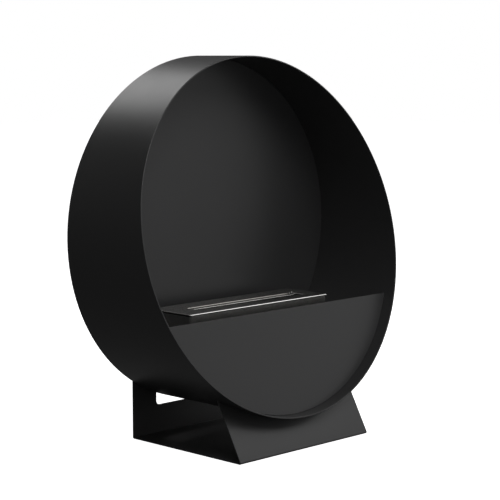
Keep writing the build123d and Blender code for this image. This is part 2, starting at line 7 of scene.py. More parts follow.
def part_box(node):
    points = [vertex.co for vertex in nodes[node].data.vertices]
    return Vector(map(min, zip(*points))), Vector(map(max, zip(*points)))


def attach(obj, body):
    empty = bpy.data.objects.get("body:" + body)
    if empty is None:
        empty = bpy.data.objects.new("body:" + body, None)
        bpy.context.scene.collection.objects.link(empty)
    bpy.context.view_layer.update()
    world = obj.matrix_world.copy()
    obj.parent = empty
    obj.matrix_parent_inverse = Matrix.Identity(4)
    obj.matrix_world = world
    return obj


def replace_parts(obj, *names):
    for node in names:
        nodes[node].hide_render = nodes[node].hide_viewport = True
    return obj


# Round floor-standing bioethanol fireplace in black powder-coated steel, with a brushed stainless burner.
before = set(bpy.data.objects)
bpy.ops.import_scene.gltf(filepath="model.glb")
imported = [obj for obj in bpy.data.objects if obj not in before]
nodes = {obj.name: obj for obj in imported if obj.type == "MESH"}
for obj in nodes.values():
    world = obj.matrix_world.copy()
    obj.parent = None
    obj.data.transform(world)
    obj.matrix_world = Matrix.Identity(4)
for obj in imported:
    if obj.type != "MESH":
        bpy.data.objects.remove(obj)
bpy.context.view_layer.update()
print("frame loaded,", len(nodes), "CAD nodes")


def newGroup(name, inputs, outputs):
    group = bpy.data.node_groups.new(name, "ShaderNodeTree")
    for label, kind, value in inputs:
        socket = group.interface.new_socket(name=label, in_out="INPUT", socket_type=kind)
        socket.default_value = value
    for label, kind in outputs:
        group.interface.new_socket(name=label, in_out="OUTPUT", socket_type=kind)
    return group, group.nodes.new("NodeGroupInput"), group.nodes.new("NodeGroupOutput")


def addNode(tree, kind, settings=None, **sockets):
    node = tree.nodes.new(kind)
    for key, value in (settings or {}).items():
        setattr(node, key, value)
    for key, value in sockets.items():
        node.inputs[key].default_value = value
    return node


def addMath(tree, operation, first, second=None, clamp=False):
    node = addNode(tree, "ShaderNodeMath", {"operation": operation, "use_clamp": clamp})
    for slot, value in enumerate((first, second)):
        if value is None:
            continue
        if isinstance(value, (int, float)):
            node.inputs[slot].default_value = value
        else:
            tree.links.new(value, node.inputs[slot])
    return node.outputs[0]


def addMix(tree, share, first, second):
    node = addNode(tree, "ShaderNodeMix", {"data_type": "RGBA"})
    for label, value in (("Factor", share), ("A", first), ("B", second)):
        socket = next(s for s in node.inputs if s.name == label and s.enabled)
        if isinstance(value, (int, float, tuple)):
            socket.default_value = value
        else:
            tree.links.new(value, socket)
    return next(s for s in node.outputs if s.enabled)


def makeCoatGrain():
    # fine pebbled skin of a sprayed and baked powder coat
    group, start, end = newGroup(
        "coatGrain",
        [
            ("Vector", "NodeSocketVector", (0, 0, 0)),
            ("Grain Size", "NodeSocketFloat", 0.0008),
            ("Patch Scale", "NodeSocketFloat", 7.0),
        ],
        [("Height", "NodeSocketFloat"), ("Patches", "NodeSocketFloat")],
    )
    scale = addMath(group, "DIVIDE", 1.0, start.outputs["Grain Size"])
    pebbles = addNode(group, "ShaderNodeTexVoronoi", {"feature": "SMOOTH_F1"})
    fine = addNode(group, "ShaderNodeTexNoise", Detail=4.0, Roughness=0.55)
    patches = addNode(group, "ShaderNodeTexNoise", Detail=3.0, Roughness=0.6)
    for node in (pebbles, fine, patches):
        group.links.new(start.outputs["Vector"], node.inputs["Vector"])
    group.links.new(scale, pebbles.inputs["Scale"])
    group.links.new(scale, fine.inputs["Scale"])
    group.links.new(start.outputs["Patch Scale"], patches.inputs["Scale"])
    height = addMath(group, "ADD", pebbles.outputs["Distance"], fine.outputs["Fac"])
    group.links.new(height, end.inputs["Height"])
    group.links.new(patches.outputs["Fac"], end.inputs["Patches"])
    return group


def makeBrushing():
    # long straight scratches of a brushed sheet, along the piece's X
    group, start, end = newGroup(
        "brushing",
        [
            ("Vector", "NodeSocketVector", (0, 0, 0)),
            ("Stretch", "NodeSocketFloat", 60.0),
            ("Scratch Scale", "NodeSocketFloat", 2600.0),
            ("Streak Scale", "NodeSocketFloat", 420.0),
        ],
        [("Height", "NodeSocketFloat"), ("Streaks", "NodeSocketFloat")],
    )
    split = addNode(group, "ShaderNodeSeparateXYZ")
    join = addNode(group, "ShaderNodeCombineXYZ")
    group.links.new(start.outputs["Vector"], split.inputs["Vector"])
    along = addMath(group, "DIVIDE", split.outputs["X"], start.outputs["Stretch"])
    group.links.new(along, join.inputs["X"])
    group.links.new(split.outputs["Y"], join.inputs["Y"])
    group.links.new(split.outputs["Z"], join.inputs["Z"])
    fine = addNode(group, "ShaderNodeTexNoise", Detail=3.0, Roughness=0.7)
    broad = addNode(group, "ShaderNodeTexNoise", Detail=2.0, Roughness=0.5)
    for node, scale in ((fine, "Scratch Scale"), (broad, "Streak Scale")):
        group.links.new(join.outputs["Vector"], node.inputs["Vector"])
        group.links.new(start.outputs[scale], node.inputs["Scale"])
    group.links.new(fine.outputs["Fac"], end.inputs["Height"])
    group.links.new(broad.outputs["Fac"], end.inputs["Streaks"])
    return group


def makeDust():
    # thin dust that settles on what faces up
    group, start, end = newGroup(
        "settledDust",
        [
            ("Vector", "NodeSocketVector", (0, 0, 0)),
            ("Amount", "NodeSocketFloat", 0.1),
            ("Steepness", "NodeSocketFloat", 4.0),
            ("Speck Scale", "NodeSocketFloat", 35.0),
        ],
        [("Mask", "NodeSocketFloat")],
    )
    facing = addNode(group, "ShaderNodeNewGeometry")
    split = addNode(group, "ShaderNodeSeparateXYZ")
    group.links.new(facing.outputs["Normal"], split.inputs["Vector"])
    upward = addMath(group, "MAXIMUM", split.outputs["Z"], 0.0)
    level = addMath(group, "POWER", upward, start.outputs["Steepness"])
    specks = addNode(group, "ShaderNodeTexNoise", Detail=6.0, Roughness=0.65)
    group.links.new(start.outputs["Speck Scale"], specks.inputs["Scale"])
    group.links.new(start.outputs["Vector"], specks.inputs["Vector"])
    patchy = addMath(group, "MULTIPLY", level, specks.outputs["Fac"])
    mask = addMath(group, "MULTIPLY", patchy, start.outputs["Amount"], clamp=True)
    group.links.new(mask, end.inputs["Mask"])
    return group


def makeRoundingMask():
    # tells roundings from flat faces, and upright cut faces from both
    group, start, end = newGroup(
        "roundingMask",
        [("Flat From", "NodeSocketFloat", 0.97), ("Upright To", "NodeSocketFloat", 0.05)],
        [("Rounding", "NodeSocketFloat"), ("Cut", "NodeSocketFloat")],
    )
    facing = addNode(group, "ShaderNodeNewGeometry")
    split = addNode(group, "ShaderNodeSeparateXYZ")
    group.links.new(facing.outputs["Normal"], split.inputs["Vector"])
    level = addMath(group, "ABSOLUTE", split.outputs["Z"])
    edge = addMath(group, "LESS_THAN", level, start.outputs["Flat From"])
    cut = addMath(group, "LESS_THAN", level, start.outputs["Upright To"])
    group.links.new(addMath(group, "SUBTRACT", edge, cut), end.inputs["Rounding"])
    group.links.new(cut, end.inputs["Cut"])
    return group


def makeSlotShadeMask():
    # painted shade in the slot: full inside the slot's outline, gone at a short way outside it
    group, start, end = newGroup(
        "slotShadeMask",
        [
            ("Vector", "NodeSocketVector", (0, 0, 0)),
            ("Centre", "NodeSocketVector", (0, 0, 0)),
            ("Half Size", "NodeSocketVector", (0.1, 0.02, 0)),
            ("Fade", "NodeSocketFloat", 0.006),
        ],
        [("Mask", "NodeSocketFloat")],
    )
    offset = addNode(group, "ShaderNodeVectorMath", {"operation": "SUBTRACT"})
    folded = addNode(group, "ShaderNodeVectorMath", {"operation": "ABSOLUTE"})
    past = addNode(group, "ShaderNodeVectorMath", {"operation": "SUBTRACT"})
    split = addNode(group, "ShaderNodeSeparateXYZ")
    group.links.new(start.outputs["Vector"], offset.inputs[0])
    group.links.new(start.outputs["Centre"], offset.inputs[1])
    group.links.new(offset.outputs["Vector"], folded.inputs[0])
    group.links.new(folded.outputs["Vector"], past.inputs[0])
    group.links.new(start.outputs["Half Size"], past.inputs[1])
    group.links.new(past.outputs["Vector"], split.inputs["Vector"])
    outside = addMath(group, "MAXIMUM", split.outputs["X"], split.outputs["Y"])
    share = addMath(group, "DIVIDE", outside, start.outputs["Fade"])
    mask = addMath(group, "SUBTRACT", 1.0, share, clamp=True)
    group.links.new(mask, end.inputs["Mask"])
    return group


def makeEdgeRub():
    # where handling has polished the corners
    group, start, end = newGroup(
        "edgeRub",
        [
            ("Vector", "NodeSocketVector", (0, 0, 0)),
            ("Width", "NodeSocketFloat", 0.0006),
            ("Strength", "NodeSocketFloat", 4.0),
            ("Patch Scale", "NodeSocketFloat", 60.0),
        ],
        [("Mask", "NodeSocketFloat")],
    )
    rounded = addNode(group, "ShaderNodeBevel", {"samples": 4})
    group.links.new(start.outputs["Width"], rounded.inputs["Radius"])
    facing = addNode(group, "ShaderNodeNewGeometry")
    compare = addNode(group, "ShaderNodeVectorMath", {"operation": "DOT_PRODUCT"})
    group.links.new(rounded.outputs["Normal"], compare.inputs[0])
    group.links.new(facing.outputs["Normal"], compare.inputs[1])
    turn = addMath(group, "SUBTRACT", 1.0, compare.outputs["Value"])
    broken = addNode(group, "ShaderNodeTexNoise", Detail=4.0, Roughness=0.6)
    group.links.new(start.outputs["Patch Scale"], broken.inputs["Scale"])
    group.links.new(start.outputs["Vector"], broken.inputs["Vector"])
    worn = addMath(group, "MULTIPLY", turn, broken.outputs["Fac"])
    mask = addMath(group, "MULTIPLY", worn, start.outputs["Strength"], clamp=True)
    group.links.new(mask, end.inputs["Mask"])
    return group


coatGrain = makeCoatGrain()
brushing = makeBrushing()
settledDust = makeDust()
edgeRub = makeEdgeRub()
roundingMask = makeRoundingMask()
slotShadeMask = makeSlotShadeMask()
print("shared effects built")


def startMaterial(name):
    material = bpy.data.materials.new(name)
    material.use_nodes = True
    tree = material.node_tree
    tree.nodes.clear()
    shader = tree.nodes.new("ShaderNodeBsdfPrincipled")
    output = tree.nodes.new("ShaderNodeOutputMaterial")
    place = tree.nodes.new("ShaderNodeTexCoord")
    tree.links.new(shader.outputs["BSDF"], output.inputs["Surface"])
    return material, tree, shader, place.outputs["Object"]


def useGroup(tree, group, vector, **sockets):
    node = tree.nodes.new("ShaderNodeGroup")
    node.node_tree = group
    tree.links.new(vector, node.inputs["Vector"])
    for key, value in sockets.items():
        node.inputs[key.replace("_", " ")].default_value = value
    return node


def addBump(tree, shader, height, strength, distance):
    bump = addNode(tree, "ShaderNodeBump", Strength=strength, Distance=distance)
    tree.links.new(height, bump.inputs["Height"])
    tree.links.new(bump.outputs["Normal"], shader.inputs["Normal"])


powderCoat = {
    "colour": (0.028, 0.028, 0.0285, 1),
    "dusty": (0.060, 0.058, 0.055, 1),
    "rubbed": (0.050, 0.050, 0.051, 1),
    "rubWidth": 0.0007,
    "roughness": 0.36,
    "roughnessSpread": 0.08,
    "grainSize": 0.0011,
    "grainDepth": 0.00006,
    "grainStrength": 0.35,
    "dust": 0.10,
}


def makePowderCoat(name, values):
    material, tree, shader, place = startMaterial(name)
    grain = useGroup(tree, coatGrain, place, Grain_Size=values["grainSize"])
    dust = useGroup(tree, settledDust, place, Amount=values["dust"])
    rub = useGroup(tree, edgeRub, place, Width=values["rubWidth"])
    colour = addMix(tree, dust.outputs["Mask"], values["colour"], values["dusty"])
    colour = addMix(tree, rub.outputs["Mask"], colour, values["rubbed"])
    tree.links.new(colour, shader.inputs["Base Color"])
    spread = addMath(tree, "SUBTRACT", grain.outputs["Patches"], 0.5)
    spread = addMath(tree, "MULTIPLY", spread, values["roughnessSpread"])
    rough = addMath(tree, "ADD", spread, values["roughness"])
    rough = addMath(tree, "ADD", rough, dust.outputs["Mask"], clamp=True)
    tree.links.new(rough, shader.inputs["Roughness"])
    addBump(tree, shader, grain.outputs["Height"], values["grainStrength"], values["grainDepth"])
    return material


stainless = {
    "bright": (0.76, 0.745, 0.72, 1),
    "dull": (0.60, 0.59, 0.575, 1),
    "roughness": 0.28,
    "roughnessSpread": 0.16,
    "scratchDepth": 0.00002,
    "scratchStrength": 0.30,
    "edge": None,  # painted colour of the roundings: a highlight on the lid, shade on the box
    "cut": None,  # colour of the cut faces
    "slot": None,  # where the slot's painted shade lies
}
# the lid and the damper have smoother deburred roundings, coloured brighter as a painted highlight, and the
# damper is coloured dark as painted shade in the slot under the lid
lidSteel = {
    **stainless,
    "bright": (0.71, 0.697, 0.675, 1),
    "dull": (0.56, 0.55, 0.537, 1),
    # painted highlight: a brighter colour on the lid's roundings; their lower roughness is the real polish
    "edge": (0.90, 0.89, 0.87, 1),
    "edgeRoughness": 0.13,
    "cut": (0.14, 0.138, 0.135, 1),
    # painted shade: the slot's walls and rim are coloured darker
    "slotShadeColour": (0.40, 0.385, 0.36, 1),
    "slot": {"Centre": (0.00425, 0.01877, 0), "Half_Size": (0.165, 0.0209, 0), "Fade": 0.007},
}
damperSteel = {
    **lidSteel,
    # painted shade: the damper's sheet is coloured dark, as it lies in shade in the slot under the lid
    "bright": (0.150, 0.147, 0.143, 1),
    "dull": (0.100, 0.098, 0.096, 1),
    "roughness": 0.34,
    "slot": None,
}
# the box is coloured dark along its folds: painted shade, as its top fold lies in the shade under the lid's
# overhang
boxSteel = {
    **stainless,
    "bright": (0.90, 0.88, 0.85, 1),
    "dull": (0.74, 0.73, 0.71, 1),
    "roughnessSpread": 0.05,
    "scratchDepth": 0.00001,
    # painted shade: a dark colour on the box's folds
    "edge": (0.10, 0.098, 0.095, 1),
    "edgeRoughness": 0.30,
}
knobSteel = {
    **stainless,
    "bright": (0.90, 0.89, 0.87, 1),
    "dull": (0.80, 0.79, 0.77, 1),
    "roughness": 0.15,
    "roughnessSpread": 0.04,
}


def makeStainless(name, values):
    material, tree, shader, place = startMaterial(name)
    shader.inputs["Metallic"].default_value = 1.0
    brush = useGroup(tree, brushing, place)
    colour = addMix(tree, brush.outputs["Streaks"], values["dull"], values["bright"])
    spread = addMath(tree, "SUBTRACT", brush.outputs["Height"], 0.5)
    spread = addMath(tree, "MULTIPLY", spread, values["roughnessSpread"])
    rough = addMath(tree, "ADD", spread, values["roughness"], clamp=True)
    # the roundings get their painted colour here: a highlight on the lid and damper, shade on the box
    if values["edge"]:
        roundingSplit = addNode(tree, "ShaderNodeGroup", {"node_tree": roundingMask})
        rounding = roundingSplit.outputs["Rounding"]
        colour = addMix(tree, rounding, colour, values["edge"])
        if values["cut"]:
            colour = addMix(tree, roundingSplit.outputs["Cut"], colour, values["cut"])
        # painted shade along the slot's walls and rim
        if values["slot"]:
            slotShadeNode = useGroup(tree, slotShadeMask, place, **values["slot"])
            colour = addMix(tree, slotShadeNode.outputs["Mask"], colour, values["slotShadeColour"])
        change = addMath(tree, "MULTIPLY", rounding, values["edgeRoughness"] - values["roughness"])
        rough = addMath(tree, "ADD", rough, change, clamp=True)
    tree.links.new(colour, shader.inputs["Base Color"])
    tree.links.new(rough, shader.inputs["Roughness"])
    addBump(tree, shader, brush.outputs["Height"], values["scratchStrength"], values["scratchDepth"])
    return material


zincPlate = {
    "bright": (0.50, 0.50, 0.49, 1),
    "dull": (0.33, 0.34, 0.35, 1),
    "roughness": 0.34,
    "roughnessSpread": 0.2,
    "spangleScale": 700.0,
    "spangleDepth": 0.00003,
    "spangleStrength": 0.2,
}


def makeZincPlate(name, values):
    material, tree, shader, place = startMaterial(name)
    shader.inputs["Metallic"].default_value = 1.0
    spangle = addNode(tree, "ShaderNodeTexNoise", Scale=values["spangleScale"], Detail=3.0)
    tree.links.new(place, spangle.inputs["Vector"])
    colour = addMix(tree, spangle.outputs["Fac"], values["dull"], values["bright"])
    tree.links.new(colour, shader.inputs["Base Color"])
    spread = addMath(tree, "MULTIPLY", spangle.outputs["Fac"], values["roughnessSpread"])
    rough = addMath(tree, "ADD", spread, values["roughness"], clamp=True)
    tree.links.new(rough, shader.inputs["Roughness"])
    addBump(tree, shader, spangle.outputs["Fac"], values["spangleStrength"], values["spangleDepth"])
    return material


rubberPad = {
    "dark": (0.010, 0.010, 0.010, 1),
    "worn": (0.030, 0.030, 0.029, 1),
    "roughness": 0.72,
    "roughnessSpread": 0.2,
    "bloomScale": 260.0,
    "bloomDepth": 0.0001,
    "bloomStrength": 0.4,
}


def makeRubber(name, values):
    material, tree, shader, place = startMaterial(name)
    bloom = addNode(tree, "ShaderNodeTexNoise", Scale=values["bloomScale"], Detail=5.0, Roughness=0.6)
    tree.links.new(place, bloom.inputs["Vector"])
    colour = addMix(tree, bloom.outputs["Fac"], values["dark"], values["worn"])
    tree.links.new(colour, shader.inputs["Base Color"])
    spread = addMath(tree, "MULTIPLY", bloom.outputs["Fac"], values["roughnessSpread"])
    rough = addMath(tree, "ADD", spread, values["roughness"], clamp=True)
    tree.links.new(rough, shader.inputs["Roughness"])
    addBump(tree, shader, bloom.outputs["Fac"], values["bloomStrength"], values["bloomDepth"])
    return material


ceramicWool = {
    "light": (0.78, 0.76, 0.72, 1),
    "shade": (0.52, 0.50, 0.46, 1),
    "roughness": 0.95,
    "sheen": 0.25,
    "fibreScale": 900.0,
    "fibreTwist": 1.4,
    "fibreDepth": 0.0006,
    "fibreStrength": 0.8,
}


def makeCeramicWool(name, values):
    material, tree, shader, place = startMaterial(name)
    shader.inputs["Sheen Weight"].default_value = values["sheen"]
    fibres = addNode(tree, "ShaderNodeTexNoise", Scale=values["fibreScale"], Detail=6.0, Roughness=0.7,
                     Distortion=values["fibreTwist"])
    tree.links.new(place, fibres.inputs["Vector"])
    colour = addMix(tree, fibres.outputs["Fac"], values["shade"], values["light"])
    tree.links.new(colour, shader.inputs["Base Color"])
    shader.inputs["Roughness"].default_value = values["roughness"]
    addBump(tree, shader, fibres.outputs["Fac"], values["fibreStrength"], values["fibreDepth"])
    return material


finishes = {
    "powder_coat": makePowderCoat("blackPowderCoat", powderCoat),
    "stainless": makeStainless("brushedStainless", stainless),
    "zinc": makeZincPlate("zincPlated", zincPlate),
    "rubber_pad": makeRubber("blackRubber", rubberPad),
    "ceramic_wool": makeCeramicWool("ceramicWool", ceramicWool),
}
for name, node in nodes.items():
    for slot in node.material_slots:
        slot.material = finishes[slot.material.name.split(".")[0]]
burnerFinishes = {
    "burner_box": makeStainless("boxStainless", boxSteel),
    "burner_top_plate": makeStainless("lidStainless", lidSteel),
    "damper_plate": makeStainless("damperStainless", damperSteel),
    "damper_knob": makeStainless("knobStainless", knobSteel),
}
for name, finish in burnerFinishes.items():
    for slot in nodes[name].material_slots:
        slot.material = finish
print("finishes given to every CAD node")


sameCadPoint = 0.000001  # points of a CAD mesh this near to each other are one
samePoint = 0.000002


def addPart(whole, part, place):
    # moves a finished part to its place and adds it to the piece
    bmesh.ops.remove_doubles(part, verts=part.verts, dist=samePoint)
    bmesh.ops.recalc_face_normals(part, faces=part.faces)
    bmesh.ops.transform(part, matrix=place, verts=part.verts)
    holder = bpy.data.meshes.new("part")
    part.to_mesh(holder)
    part.free()
    whole.from_mesh(holder)
    bpy.data.meshes.remove(holder)


def finishPiece(name, mesh, body, slotName, sharpAngle=35):
    data = bpy.data.meshes.new(name)
    mesh.to_mesh(data)
    mesh.free()
    data.materials.append(finishes[slotName])
    data.shade_smooth()
    data.set_sharp_from_angle(angle=math.radians(sharpAngle))
    piece = bpy.data.objects.new(name, data)
    bpy.context.scene.collection.objects.link(piece)
    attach(piece, body)
    return piece


def cadSolids(name):
    # the points of each separate solid in a CAD node
    mesh = bmesh.new()
    mesh.from_mesh(nodes[name].data)
    bmesh.ops.remove_doubles(mesh, verts=mesh.verts, dist=sameCadPoint)
    seen = set()
    solids = []
    for start in mesh.verts:
        if start in seen:
            continue
        seen.add(start)
        reached = [start]
        for point in reached:
            for edge in point.link_edges:
                other = edge.other_vert(point)
                if other not in seen:
                    seen.add(other)
                    reached.append(other)
        solids.append([point.co.copy() for point in reached])
    mesh.free()
    return solids


sheetThickness = 0.003  # of the drum and of the stand
rimLean = math.radians(12.7)
standLean = math.radians(29.0)
drumLow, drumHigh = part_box("drum_shell")
drumAxis = Vector((0, 0, (drumLow.z + drumHigh.z) / 2))
drumRadius = (drumHigh.z - drumLow.z) / 2
wallRadius = drumRadius - sheetThickness  # inside of the drum
panelBack = Vector((0, math.cos(rimLean), -math.sin(rimLean)))  # where the front panel's rear face looks


def outwards(solid):
    middle = sum(solid, Vector()) / len(solid) - drumAxis
    return Vector((middle.x, 0, middle.z)).normalized()


def seatOf(solid, along):
    # frame at the solid's low end, with Z along its centre line and X towards a corner
    aim = outwards(solid) if along is None else Vector(along).normalized()
    side = aim.orthogonal().normalized()
    axes = (side, aim.cross(side), aim)
    low = [min(point.dot(axis) for point in solid) for axis in axes]
    high = [max(point.dot(axis) for point in solid) for axis in axes]
    base = sum(((a + b) / 2 * axis for a, b, axis in zip(low[:2], high[:2], axes)), low[2] * aim)
    spokes = [point - base - (point - base).dot(aim) * aim for point in solid]
    reach = [spoke.length for spoke in spokes]
    corner = spokes[reach.index(max(reach))].normalized()
    place = Matrix((corner, aim.cross(corner), aim)).transposed().to_4x4()
    place.translation = base
    return place, max(reach), min(reach), high[2] - low[2]


def turned(profile, segments, closed=False):
    # spins (radius, height) points round Z
    mesh = bmesh.new()
    line = [mesh.verts.new((radius, 0, height)) for radius, height in profile]
    edges = [mesh.edges.new(pair) for pair in zip(line, line[1:] + line[:1] if closed else line[1:])]
    bmesh.ops.spin(mesh, geom=line + edges, cent=(0, 0, 0), axis=(0, 0, 1), dvec=(0, 0, 0),
                   angle=2 * math.pi, steps=segments, use_merge=True, use_duplicate=False)
    return mesh


def bridgeRings(mesh, rings, closed=False):
    # walls between neighbouring rings of points
    for first, second in zip(rings, rings[1:] + rings[:1] if closed else rings[1:]):
        pair = set(first) | set(second)
        loops = [e for e in mesh.edges if e.is_boundary or e.is_wire]
        loops = [e for e in loops if e.verts[0] in pair and e.verts[1] in pair]
        bmesh.ops.bridge_loops(mesh, edges=loops)


hexNuts = {
    "segments": 24,
    "roundFace": 0.95,  # round face at each end, against the width across the flats
    "chamfer": math.tan(math.radians(30)),
    "entry": 0.00035,  # countersink of the bore
    "rows": {
        "back_panel_nuts": {"body": "frame", "along": (0, 1, 0)},
        "front_panel_nuts": {"body": "frame", "along": panelBack},
        "saddle_nuts": {"body": "frame", "along": None},
        "shelf_nuts": {"body": "frame", "along": (0, 0, -1)},
        "plate_nuts": {"body": "burner", "along": (0, 0, -1)},
    },
}


def hexNut(values, corner, bore, height):
    flat = corner * math.cos(math.pi / 6)
    face = flat * values["roundFace"]
    entry = values["entry"]
    mesh = bmesh.new()
    rings = []
    for radius, level in ((bore + entry, 0), (face, 0), (None, 0), (None, height), (face, height),
                          (bore + entry, height), (bore, height - entry), (bore, entry)):
        ring = bmesh.ops.create_circle(mesh, segments=values["segments"], radius=1.0)["verts"]
        for point in ring:
            angle = math.atan2(point.co.y, point.co.x) % (math.pi / 3) - math.pi / 6
            reach = flat / math.cos(angle) if radius is None else radius
            drop = (reach - face) * values["chamfer"] if radius is None else 0
            point.co *= reach
            point.co.z = level + (drop if level == 0 else -drop)
        rings.append(ring)
    bridgeRings(mesh, rings, closed=True)
    return mesh


for name, row in hexNuts["rows"].items():
    whole = bmesh.new()
    for solid in cadSolids(name):
        place, corner, bore, height = seatOf(solid, row["along"])
        addPart(whole, hexNut(hexNuts, corner, bore, height), place)
    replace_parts(finishPiece(name + "_hex", whole, row["body"], "zinc"), name)
print("nuts made")

threadedStuds = {
    "segments": 16,
    "depth": 0.61,  # of the pitch
    "tip": 0.0005,
    "rows": {
        "back_panel_studs": {"body": "frame", "along": (0, 1, 0), "pitch": 0.0008},
        "front_panel_studs": {"body": "frame", "along": panelBack, "pitch": 0.0008},
        "saddle_studs": {"body": "frame", "along": None, "pitch": 0.0010},
        "plate_studs": {"body": "burner", "along": (0, 0, -1), "pitch": 0.0007},
    },
}


def threadedStud(values, pitch, radius, length):
    profile = [(0, 0), (radius, 0)]
    turns = int((length - values["tip"]) / pitch - 0.5)
    for turn in range(turns):
        level = (turn + 0.5) * pitch
        profile += [(radius, level), (radius - values["depth"] * pitch, level + pitch / 2)]
    profile += [(radius, (turns + 0.5) * pitch), (radius - values["tip"], length), (0, length)]
    return turned(profile, values["segments"])


for name, row in threadedStuds["rows"].items():
    whole = bmesh.new()
    for solid in cadSolids(name):
        place, radius, _, length = seatOf(solid, row["along"])
        addPart(whole, threadedStud(threadedStuds, row["pitch"], radius, length), place)
    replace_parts(finishPiece(name + "_threaded", whole, row["body"], "zinc"), name)
print("studs made")

standPads = {
    "segments": 48,
    "edge": 0.0006,  # rounding at the foot
    "edgeShare": 0.3,  # of the rounding, where its middle point lies
    "groove": 0.0004,
    "grooveShare": (0.55, 0.62, 0.69),  # of the pad's radius
}


def roundPad(values, radius, height):
    # rounded at its foot, with a shallow ring groove in its sole
    edge, near = values["edge"], values["edge"] * values["edgeShare"]
    inner, middle, outer = (share * radius for share in values["grooveShare"])
    profile = [(0, 0), (inner, 0), (middle, values["groove"]), (outer, 0), (radius - edge, 0)]
    profile += [(radius - near, near), (radius, edge), (radius, height), (0, height)]
    return turned(profile, values["segments"])


whole = bmesh.new()
for solid in cadSolids("stand_pads"):
    place, radius, _, height = seatOf(solid, (0, 0, 1))
    addPart(whole, roundPad(standPads, radius, height), place)
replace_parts(finishPiece("stand_pads_moulded", whole, "frame", "rubber_pad"), "stand_pads")
print("pads made")

weldBeads = {
    "radius": 0.0016,
    "step": 0.0006,  # from one ring of points to the next
    "ripple": 0.16,
    "segments": 8,
    "tabArc": 0.033,  # half the arc of a tab's bead, in radians
    "lipReach": 0.0264,  # drum's wall to the beads under the saddle's lip
    "lipStitches": (-0.30, -0.10, 0.10, 0.30),  # middles of the stitches, in radians
    "lipArc": 0.03,
    "cleatStitches": (-0.045, 0, 0.045),
    "stitch": 0.013,  # half of a stitch
    "sunk": 0.0005,  # of a bead's centre line, inside the wall
    "off": 0.0004,  # from a sheet's face to the centre line
    "bossOff": 0.0003,
    "bossTurn": 2.04 * math.pi,  # the bead round a boss ends over its start
    "endSize": 0.3,
    "endGrowth": 0.2,  # for each ring, until the bead is full
    "spread": 3,  # rings in one ripple
}


def arcPath(radius, middle, half, depthAt):
    # points about the drum's axis; depthAt gives Y for a height
    count = int(2 * half * radius / weldBeads["step"])
    path = []
    for index in range(count + 1):
        angle = middle + half * (2 * index / count - 1)
        height = drumAxis.z + radius * math.sin(angle)
        path.append(Vector((radius * math.cos(angle), depthAt(height), height)))
    return path


def weldBead(values, path):
    # rippled tube along the path, thin at both ends
    mesh = bmesh.new()
    rings = []
    for index, point in enumerate(path):
        ahead = path[min(index + 1, len(path) - 1)] - path[max(index - 1, 0)]
        fromEnd = min(index, len(path) - 1 - index)
        taper = min(1, values["endSize"] + values["endGrowth"] * fromEnd)
        size = values["radius"] * taper * (1 + values["ripple"] * (index % values["spread"] - 1))
        place = Matrix.Translation(point) @ ahead.to_track_quat("Z", "Y").to_matrix().to_4x4()
        ring = bmesh.ops.create_circle(mesh, cap_ends=fromEnd == 0, segments=values["segments"],
                                       radius=size, matrix=place)
        rings.append(ring["verts"])
    bridgeRings(mesh, rings)
    return mesh


def tabPaths(values, name, away):
    # one bead on the drum's wall, along the end of each tab's foot; away is where the tab's panel faces
    paths = []
    for solid in cadSolids(name):
        out = outwards(solid)
        footEnd = max(point.dot(away) for point in solid) + values["off"]
        paths.append(arcPath(wallRadius - values["sunk"], math.atan2(out.z, out.x), values["tabArc"],
                             lambda z, end=footEnd: (end - z * away.z) / away.y))
    return paths


def bossPaths(values):
    # a bead round each boss, on the back panel
    paths = []
    for solid in cadSolids("rear_bosses"):
        place, radius, _, _ = seatOf(solid, (0, 1, 0))
        middle, reach = place.translation, radius + values["bossOff"]
        count = int(2 * math.pi * reach / values["step"])
        angles = [values["bossTurn"] * index / count for index in range(count + 1)]
        off = values["bossOff"]
        paths.append([middle + Vector((reach * math.cos(a), off, reach * math.sin(a))) for a in angles])
    return paths


def lipPaths(values):
    # stitches under the saddle's lip, behind the stand's leaning front
    low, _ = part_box("stand")
    behindFront = low.y + (sheetThickness + values["off"]) / math.cos(standLean)
    return [arcPath(drumRadius + values["lipReach"], middle - math.pi / 2, values["lipArc"],
                    lambda z: behindFront + (z - low.z) * math.tan(standLean))
            for middle in values["lipStitches"]]


def cleatPaths(values, name):
    # straight stitches between a cleat's foot and the drum's wall
    low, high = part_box(name)
    across = math.sqrt((wallRadius - values["sunk"]) ** 2 - (drumAxis.z - low.z) ** 2)
    across = math.copysign(across, low.x + high.x)
    count = int(2 * values["stitch"] / values["step"])
    paths = []
    for middle in values["cleatStitches"]:
        start = (low.y + high.y) / 2 + middle - values["stitch"]
        paths.append([Vector((across, start + index * values["step"], low.z)) for index in range(count + 1)])
    return paths


paths = tabPaths(weldBeads, "back_panel_tabs", Vector((0, 1, 0)))
paths += tabPaths(weldBeads, "front_panel_tabs", panelBack)
paths += bossPaths(weldBeads)
paths += lipPaths(weldBeads)
paths += cleatPaths(weldBeads, "shelf_cleat_left")
paths += cleatPaths(weldBeads, "shelf_cleat_right")
whole = bmesh.new()
for path in paths:
    addPart(whole, weldBead(weldBeads, path), Matrix())
finishPiece("painted_welds", whole, "frame", "powder_coat", sharpAngle=80)
print(len(paths), "weld beads laid")

gapShadeBead = {"radius": 0.00065, "sides": 8, "segments": 420}


def gapShadeRing(values, ringRadius):
    # closed black bead put where the gap is in shade: it keeps the gap dark and blocks the lamps behind
    bead = values["radius"]
    angles = [2 * math.pi * side / values["sides"] for side in range(values["sides"])]
    profile = [(ringRadius + bead * math.cos(angle), bead * math.sin(angle)) for angle in angles]
    return turned(profile, values["segments"], closed=True)


